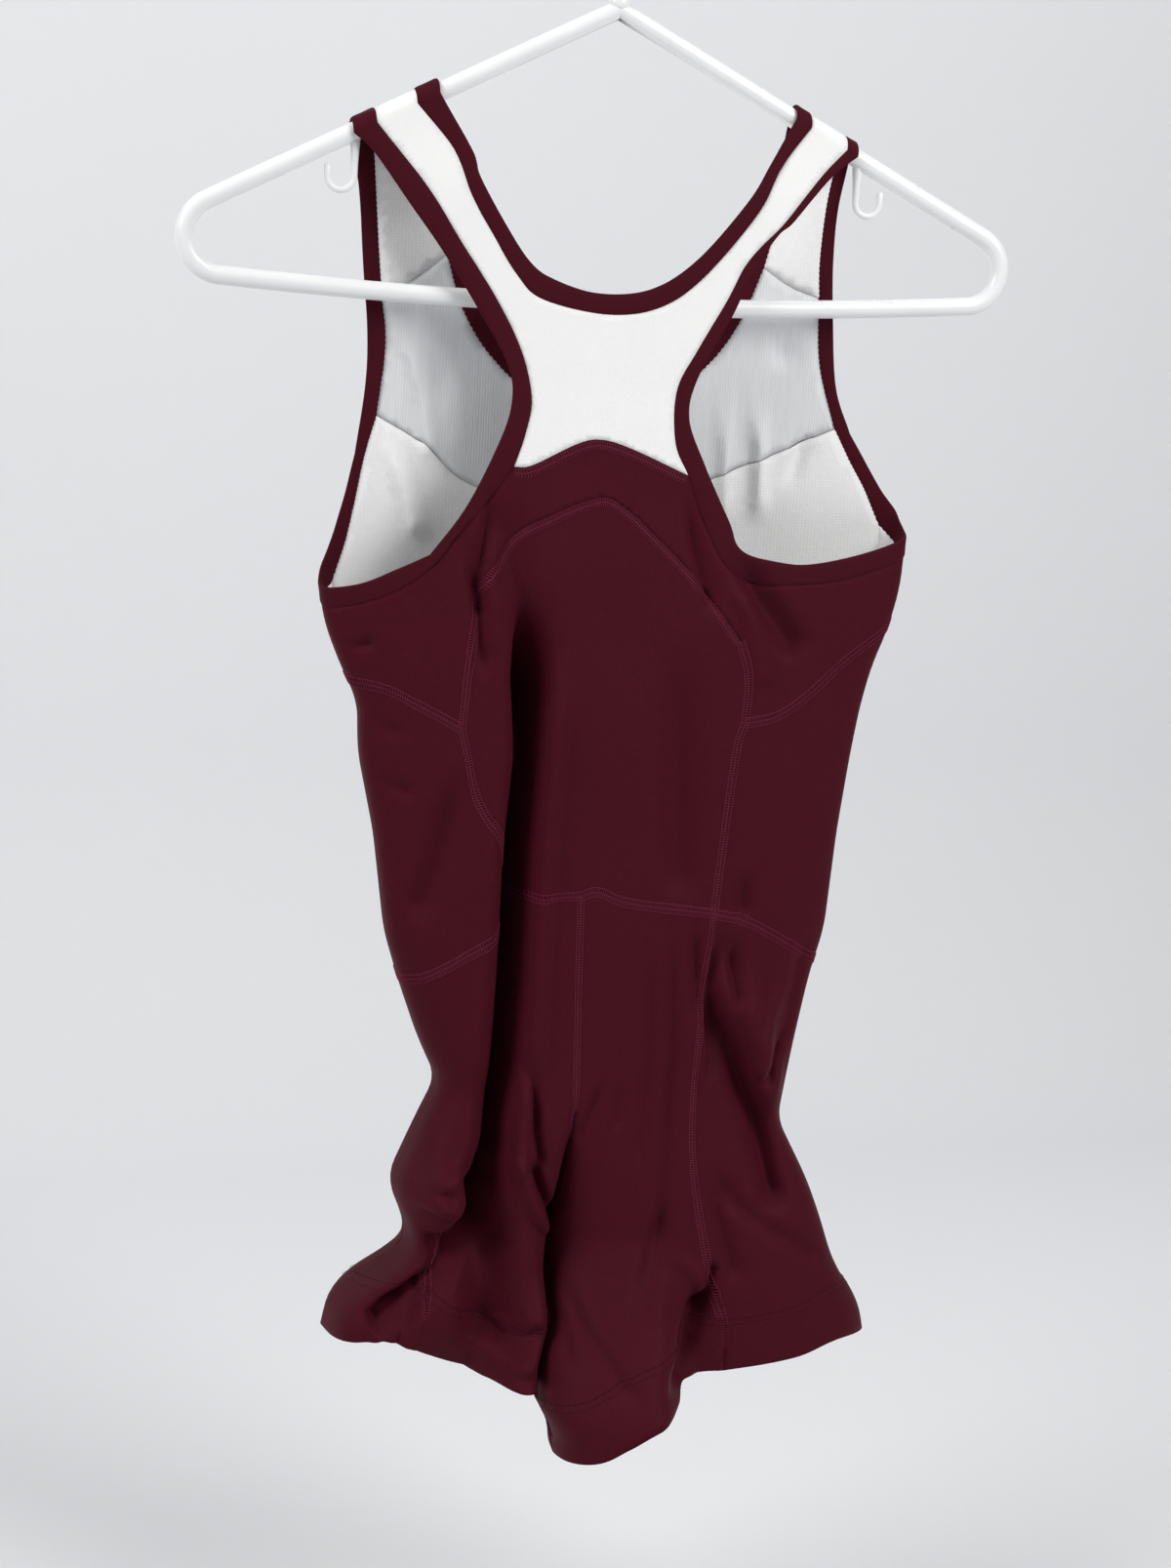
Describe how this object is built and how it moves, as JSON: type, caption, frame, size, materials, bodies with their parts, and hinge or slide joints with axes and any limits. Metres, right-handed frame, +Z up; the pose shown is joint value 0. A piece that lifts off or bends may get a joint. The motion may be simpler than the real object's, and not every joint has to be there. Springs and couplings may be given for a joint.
{
  "type": "track suit on hanger",
  "caption": "Racer-back one-piece track suit with short legs, hanging empty by its shoulder straps from a tubular clothes hanger.",
  "frame": {"origin": "inside of the hanger hook's crown, where it rests on a rod", "axes": "+Z up, +X to the wearer's right, -Y the garment's back and +Y its front"},
  "size_m": [0.4198, 0.1416, 0.7811],
  "materials": {
    "maroon_cloth": "dark maroon stretch knit with a soft sheen",
    "binding": "folded maroon elastic binding, matte",
    "white_cloth": "white stretch knit, matte",
    "sheer_mesh": "thin ribbed mesh, grey white",
    "hanger_plastic": "smooth white moulded plastic"
  },
  "bodies": {
    "root": {"hanger": "hanger_plastic", "back_yoke": "white_cloth", "front_strap_left": "white_cloth", "front_strap_right": "white_cloth", "front_mesh": "sheer_mesh", "back_upper_band": "maroon_cloth", "back_center": "maroon_cloth", "side_panel_left": "maroon_cloth", "side_panel_right": "maroon_cloth", "seat_panel_left": "maroon_cloth", "seat_panel_right": "maroon_cloth", "outer_leg_panel_left": "maroon_cloth", "outer_leg_panel_right": "maroon_cloth", "front_body": "maroon_cloth", "front_leg_left": "maroon_cloth", "front_leg_right": "maroon_cloth", "neck_binding_back": "binding", "neck_binding_front": "binding", "armhole_binding_left": "binding", "armhole_binding_right": "binding"}
  },
  "joints": []
}
